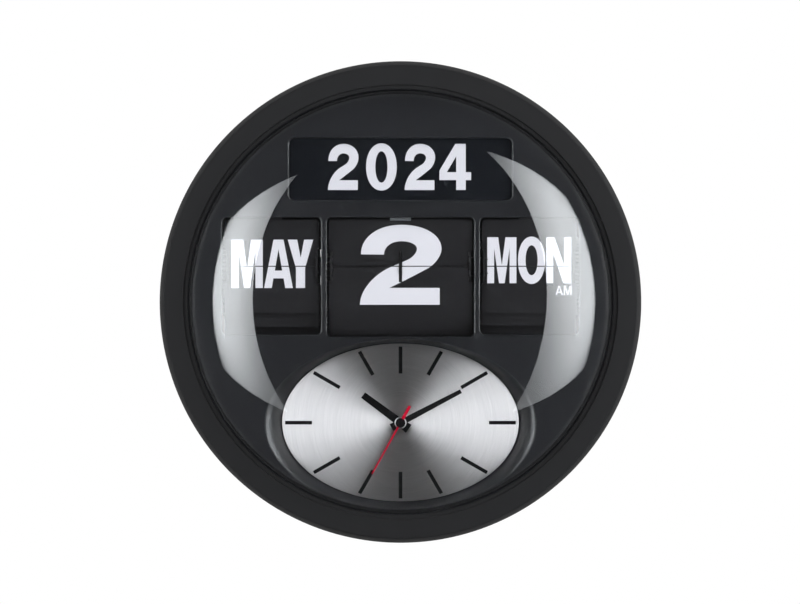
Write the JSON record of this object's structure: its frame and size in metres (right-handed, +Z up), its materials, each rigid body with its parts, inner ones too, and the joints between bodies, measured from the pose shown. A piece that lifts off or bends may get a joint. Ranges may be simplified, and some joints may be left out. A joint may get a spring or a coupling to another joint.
{
  "type": "flip calendar wall clock",
  "caption": "Round wall clock with a clear dome, leaf drums for month, date and weekday, a year card and an oval dial with hands below.",
  "frame": {"origin": "centre of the round case on its flat back, which lies on the wall", "axes": "the front faces -Y and the back +Y, +X is to the right as seen from the front, +Z up"},
  "size_m": [0.3999, 0.132, 0.4],
  "materials": {
    "case_plastic": "satin",
    "ring_plastic": "matt",
    "clear_dome": "polished",
    "seal_rubber": "matt",
    "dial_paint": "fine matt",
    "silver_metal": "fine circular brushing",
    "marker_black": "gloss",
    "card_print": "matt, white numbers",
    "holder_plastic": "satin",
    "zinc_steel": "zinc plated",
    "axle_steel": "ground",
    "drum_plastic": "satin",
    "gear_grey": "satin",
    "leaf_black": "fine matt, white print",
    "motor_steel": "satin",
    "movement_plastic": "fine texture",
    "nut_nickel": "nickel plated",
    "hand_black": "satin",
    "hand_red": "satin",
    "cell_sleeve": "gloss",
    "contact_steel": "nickel plated",
    "board_green": "lacquered",
    "wire_red": "satin",
    "knob_plastic": "satin"
  },
  "bodies": {
    "case": {"rear_case": "case_plastic", "front_ring": "ring_plastic", "dome": "clear_dome", "dome_gasket": "seal_rubber", "dial_plate": "dial_paint", "silver_dial": "silver_metal", "hour_markers": "marker_black", "year_card": "card_print", "year_card_holder": "holder_plastic", "left_end_carrier": "zinc_steel", "left_mid_carrier": "zinc_steel", "right_mid_carrier": "zinc_steel", "right_end_carrier": "zinc_steel", "top_rail": "zinc_steel", "bottom_rail": "zinc_steel", "drum_axle": "axle_steel", "axle_rings": "axle_steel", "month_retainer": "contact_steel", "date_retainer": "contact_steel", "weekday_retainer": "contact_steel", "month_motor": "motor_steel", "date_motor": "motor_steel", "weekday_motor": "motor_steel", "movement": "movement_plastic", "movement_nut": "nut_nickel", "upper_battery": "cell_sleeve", "lower_battery": "cell_sleeve", "battery_contacts": "contact_steel", "control_board": "board_green", "wiring": "wire_red", "hanger_plate": "zinc_steel", "ring_fasteners": "zinc_steel", "chassis_screws": "zinc_steel"},
    "month_drum": {"month_drum": "drum_plastic", "month_gear": "gear_grey", "month_leaves": "leaf_black", "month_lower_leaf": "leaf_black"},
    "month_falling_leaf": {"month_falling_leaf": "leaf_black"},
    "month_set_wheel": {"month_set_wheel": "knob_plastic"},
    "month_motor_pinion": {"month_motor_pinion": "gear_grey"},
    "date_drum": {"date_drum": "drum_plastic", "date_gear": "gear_grey", "date_leaves": "leaf_black", "date_lower_leaf": "leaf_black"},
    "date_falling_leaf": {"date_falling_leaf": "leaf_black"},
    "date_set_wheel": {"date_set_wheel": "knob_plastic"},
    "date_motor_pinion": {"date_motor_pinion": "gear_grey"},
    "weekday_drum": {"weekday_drum": "drum_plastic", "weekday_gear": "gear_grey", "weekday_leaves": "leaf_black", "weekday_lower_leaf": "leaf_black"},
    "weekday_falling_leaf": {"weekday_falling_leaf": "leaf_black"},
    "weekday_set_wheel": {"weekday_set_wheel": "knob_plastic"},
    "weekday_motor_pinion": {"weekday_motor_pinion": "gear_grey"},
    "date_idler_gear": {"date_idler_gear": "gear_grey"},
    "minute_hand": {"minute_hand": "hand_black"},
    "hour_hand": {"hour_hand": "hand_black"},
    "second_hand": {"second_hand": "hand_red"},
    "time_set_knob": {"time_set_knob": "knob_plastic"},
    "battery_door": {"battery_door": "case_plastic"}
  },
  "joints": [
    {"name": "month_drum_step", "type": "hinge", "parent": "case", "child": "month_drum", "pos_m": [-0.107, -0.051, 0.0297], "axis": [1, 0, 0], "range_deg": [0, 30]},
    {"name": "month_leaf_fall", "type": "hinge", "parent": "month_drum", "child": "month_falling_leaf", "pos_m": [-0.107, -0.07611, 0.03643], "axis": [1, 0, 0], "range_deg": [0, 150.1], "deforming": ["month_retainer"]},
    {"name": "month_set_wheel_turn", "type": "hinge", "parent": "case", "child": "month_set_wheel", "pos_m": [-0.107, -0.019, 0.0297], "axis": [1, 0, 0], "range_deg": [-90.1, 0]},
    {"name": "month_motor_turn", "type": "hinge", "parent": "case", "child": "month_motor_pinion", "pos_m": [-0.107, -0.051, -0.0023], "axis": [1, 0, 0], "range_deg": [-90.1, 0]},
    {"name": "date_drum_step", "type": "hinge", "parent": "case", "child": "date_drum", "pos_m": [0, -0.051, 0.0297], "axis": [1, 0, 0], "range_deg": [0, 11.61]},
    {"name": "date_leaf_fall", "type": "hinge", "parent": "date_drum", "child": "date_falling_leaf", "pos_m": [0, -0.07687, 0.03233], "axis": [1, 0, 0], "range_deg": [0, 168.49], "deforming": ["date_retainer"]},
    {"name": "date_set_wheel_turn", "type": "hinge", "parent": "case", "child": "date_set_wheel", "pos_m": [0, -0.019, 0.0297], "axis": [1, 0, 0], "range_deg": [-36.1, 0]},
    {"name": "date_motor_turn", "type": "hinge", "parent": "case", "child": "date_motor_pinion", "pos_m": [0, -0.051, -0.03976], "axis": [1, 0, 0], "range_deg": [0, 36.1]},
    {"name": "weekday_drum_step", "type": "hinge", "parent": "case", "child": "weekday_drum", "pos_m": [0.107, -0.051, 0.0297], "axis": [1, 0, 0], "range_deg": [0, 25.71]},
    {"name": "weekday_leaf_fall", "type": "hinge", "parent": "weekday_drum", "child": "weekday_falling_leaf", "pos_m": [0.107, -0.07635, 0.03549], "axis": [1, 0, 0], "range_deg": [0, 154.39], "deforming": ["weekday_retainer"]},
    {"name": "weekday_set_wheel_turn", "type": "hinge", "parent": "case", "child": "weekday_set_wheel", "pos_m": [0.107, -0.019, 0.0297], "axis": [1, 0, 0], "range_deg": [-77.24, 0]},
    {"name": "weekday_motor_turn", "type": "hinge", "parent": "case", "child": "weekday_motor_pinion", "pos_m": [0.107, -0.051, -0.0023], "axis": [1, 0, 0], "range_deg": [-77.24, 0]},
    {"name": "date_idler_turn", "type": "hinge", "parent": "case", "child": "date_idler_gear", "pos_m": [0, -0.051, -0.01323], "axis": [1, 0, 0], "range_deg": [-15.1, 0]},
    {"name": "minute_hand_turn", "type": "hinge", "parent": "case", "child": "minute_hand", "pos_m": [0, 0, -0.1004], "axis": [0, 1, 0], "continuous": true},
    {"name": "hour_hand_turn", "type": "hinge", "parent": "case", "child": "hour_hand", "pos_m": [0, 0, -0.1004], "axis": [0, 1, 0], "continuous": true},
    {"name": "second_hand_turn", "type": "hinge", "parent": "case", "child": "second_hand", "pos_m": [0, 0, -0.1004], "axis": [0, 1, 0], "continuous": true},
    {"name": "time_set_knob_turn", "type": "hinge", "parent": "case", "child": "time_set_knob", "pos_m": [0.014, 0, -0.1004], "axis": [0, 1, 0], "continuous": true},
    {"name": "battery_door_swing", "type": "hinge", "parent": "case", "child": "battery_door", "pos_m": [0.0407, -0.0015, -0.09], "axis": [0, 0, 1], "range_deg": [0, 95]}
  ],
  "couplings": [
    {"joint": "month_leaf_fall", "follows": "month_drum_step", "ratio": 5},
    {"joint": "month_set_wheel_turn", "follows": "month_drum_step", "ratio": -3},
    {"joint": "month_motor_turn", "follows": "month_drum_step", "ratio": -3},
    {"joint": "date_leaf_fall", "follows": "date_drum_step", "ratio": 14.5},
    {"joint": "date_set_wheel_turn", "follows": "date_drum_step", "ratio": -3.1},
    {"joint": "date_motor_turn", "follows": "date_drum_step", "ratio": 3.1},
    {"joint": "weekday_leaf_fall", "follows": "weekday_drum_step", "ratio": 6},
    {"joint": "weekday_set_wheel_turn", "follows": "weekday_drum_step", "ratio": -3},
    {"joint": "weekday_motor_turn", "follows": "weekday_drum_step", "ratio": -3},
    {"joint": "date_idler_turn", "follows": "date_drum_step", "ratio": -1.2917},
    {"joint": "hour_hand_turn", "follows": "minute_hand_turn", "ratio": 0.083333},
    {"joint": "second_hand_turn", "follows": "minute_hand_turn", "ratio": 60},
    {"joint": "time_set_knob_turn", "follows": "minute_hand_turn", "ratio": -1}
  ]
}
